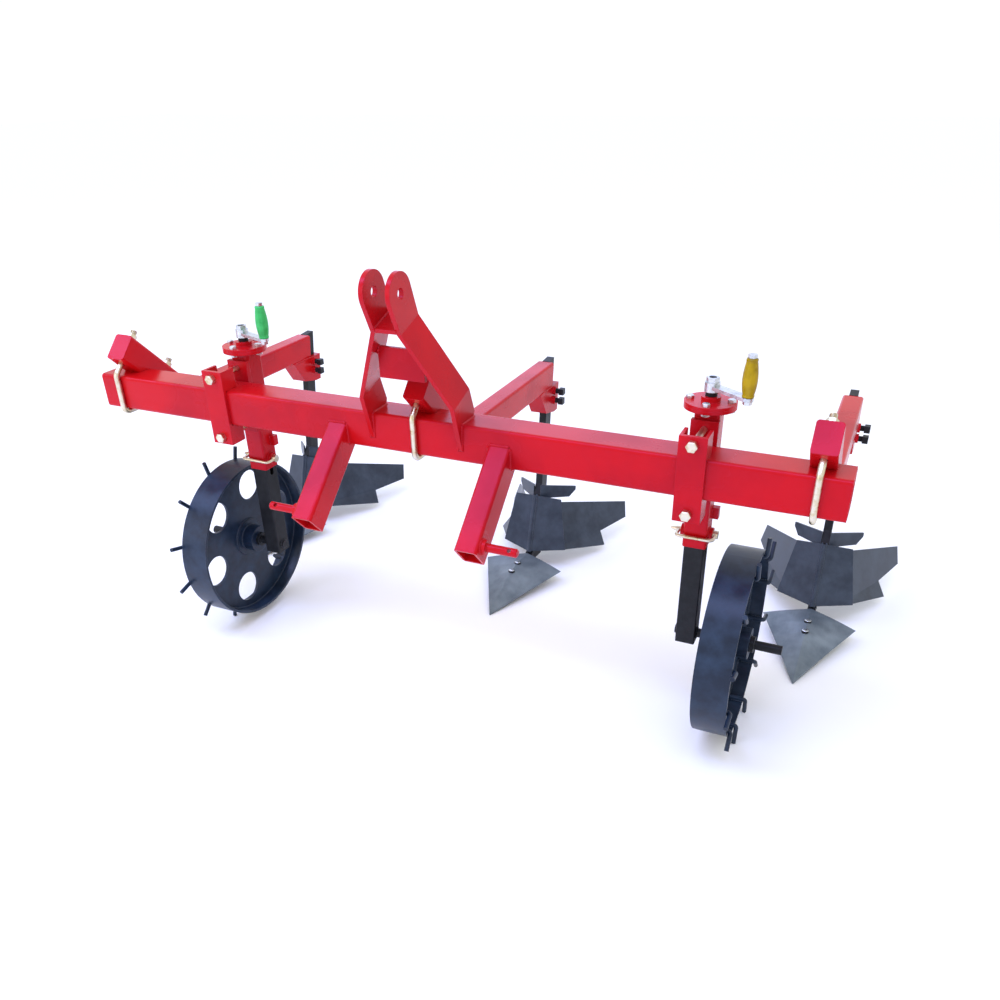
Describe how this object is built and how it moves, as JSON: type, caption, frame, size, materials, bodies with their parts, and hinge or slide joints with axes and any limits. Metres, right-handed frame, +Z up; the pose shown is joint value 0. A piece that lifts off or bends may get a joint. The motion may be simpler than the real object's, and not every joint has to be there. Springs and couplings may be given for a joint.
{
  "type": "ridging toolbar",
  "caption": "Tractor-mounted ridging toolbar: a square beam on a three-point hitch carrying winged ridger bodies on clamped arms, with pegged gauge wheels on crank-set screw jacks.",
  "frame": {"origin": "on the floor, under the middle of the part's box", "axes": "+X along the toolbar to the right as seen from the tractor, +Y rearward, away from the tractor, +Z up"},
  "size_m": [2.4616, 1.4004, 1.2117],
  "materials": {
    "red_paint": "gloss",
    "dark_steel": "satin",
    "share_steel": "satin",
    "black_steel": "satin",
    "yellow_zinc": "satin",
    "bright_zinc": "satin",
    "green_plastic": "gloss",
    "yellow_plastic": "gloss"
  },
  "bodies": {
    "frame": {"toolbar": "red_paint", "toolbar_caps": "red_paint", "mast_spacer": "red_paint", "mast_cross_plate": "red_paint", "hitch_pins": "red_paint", "clamp_bolts": "yellow_zinc", "cap_bolts": "bright_zinc", "lock_pins": "yellow_zinc", "mast_plate_left": "red_paint", "mast_plate_right": "red_paint", "hitch_arm_left": "red_paint", "hitch_arm_right": "red_paint", "clamp_front_left": "red_paint", "clamp_front_right": "red_paint", "jack_tube_left": "red_paint", "jack_tube_right": "red_paint", "jack_cap_left": "red_paint", "jack_cap_right": "red_paint"},
    "unit_left": {"arm_left": "red_paint", "v_bolt_left": "yellow_zinc", "holder_left": "red_paint", "set_bolts_left": "black_steel"},
    "tool_left": {"shank_left": "dark_steel", "breast_left": "dark_steel", "wings_left": "dark_steel", "share_left": "share_steel", "share_bolts_left": "black_steel"},
    "unit_middle": {"arm_middle": "red_paint", "v_bolt_middle": "yellow_zinc", "holder_middle": "red_paint", "set_bolts_middle": "black_steel"},
    "tool_middle": {"shank_middle": "dark_steel", "breast_middle": "dark_steel", "wings_middle": "dark_steel", "share_middle": "share_steel", "share_bolts_middle": "black_steel"},
    "unit_right": {"arm_right": "red_paint", "v_bolt_right": "yellow_zinc", "holder_right": "red_paint", "set_bolts_right": "black_steel"},
    "tool_right": {"shank_right": "dark_steel", "breast_right": "dark_steel", "wings_right": "dark_steel", "share_right": "share_steel", "share_bolts_right": "black_steel"},
    "leg_left": {"leg_left": "black_steel", "axle_left": "black_steel"},
    "crank_left": {"screw_left": "black_steel", "crank_left": "bright_zinc"},
    "grip_left": {"grip_left": "green_plastic"},
    "wheel_left": {"wheel_left": "dark_steel", "pegs_left": "dark_steel"},
    "leg_right": {"leg_right": "black_steel", "axle_right": "black_steel"},
    "crank_right": {"screw_right": "black_steel", "crank_right": "bright_zinc"},
    "grip_right": {"grip_right": "yellow_plastic"},
    "wheel_right": {"wheel_right": "dark_steel", "pegs_right": "dark_steel"}
  },
  "joints": [
    {"name": "unit_slide_left", "type": "slide", "parent": "frame", "child": "unit_left", "axis": [1, 0, 0], "range_m": [-0.03, 0.1]},
    {"name": "shank_slide_left", "type": "slide", "parent": "unit_left", "child": "tool_left", "axis": [0, 0.1392, 0.9903], "range_m": [-0.06, 0.12]},
    {"name": "unit_slide_middle", "type": "slide", "parent": "frame", "child": "unit_middle", "axis": [1, 0, 0], "range_m": [-0.05, 0.05]},
    {"name": "shank_slide_middle", "type": "slide", "parent": "unit_middle", "child": "tool_middle", "axis": [0, 0.1392, 0.9903], "range_m": [-0.06, 0.12]},
    {"name": "unit_slide_right", "type": "slide", "parent": "frame", "child": "unit_right", "axis": [1, 0, 0], "range_m": [-0.08, 0.03]},
    {"name": "shank_slide_right", "type": "slide", "parent": "unit_right", "child": "tool_right", "axis": [0, 0.1392, 0.9903], "range_m": [-0.06, 0.12]},
    {"name": "crank_turn_left", "type": "hinge", "parent": "frame", "child": "crank_left", "pos_m": [-0.632, -0.34313, 0.93], "axis": [0, 0, 1], "range_deg": [-3000, 7800]},
    {"name": "leg_slide_left", "type": "slide", "parent": "frame", "child": "leg_left", "axis": [0, 0, 1], "range_m": [-0.13, 0.05]},
    {"name": "grip_turn_left", "type": "hinge", "parent": "crank_left", "child": "grip_left", "pos_m": [-0.5261, -0.37959, 1], "axis": [0, 0, 1], "continuous": true},
    {"name": "wheel_turn_left", "type": "hinge", "parent": "leg_left", "child": "wheel_left", "pos_m": [-0.75, -0.34313, 0.27974], "axis": [1, 0, 0], "continuous": true},
    {"name": "crank_turn_right", "type": "hinge", "parent": "frame", "child": "crank_right", "pos_m": [0.717, -0.34313, 0.93], "axis": [0, 0, 1], "range_deg": [-3000, 7800]},
    {"name": "leg_slide_right", "type": "slide", "parent": "frame", "child": "leg_right", "axis": [0, 0, 1], "range_m": [-0.13, 0.05]},
    {"name": "grip_turn_right", "type": "hinge", "parent": "crank_right", "child": "grip_right", "pos_m": [0.80985, -0.40576, 1], "axis": [0, 0, 1], "continuous": true},
    {"name": "wheel_turn_right", "type": "hinge", "parent": "leg_right", "child": "wheel_right", "pos_m": [0.835, -0.34313, 0.27974], "axis": [1, 0, 0], "continuous": true}
  ],
  "couplings": [
    {"joint": "leg_slide_left", "follows": "crank_turn_left", "m_per_rad": -0.00095493},
    {"joint": "leg_slide_right", "follows": "crank_turn_right", "m_per_rad": -0.00095493}
  ]
}
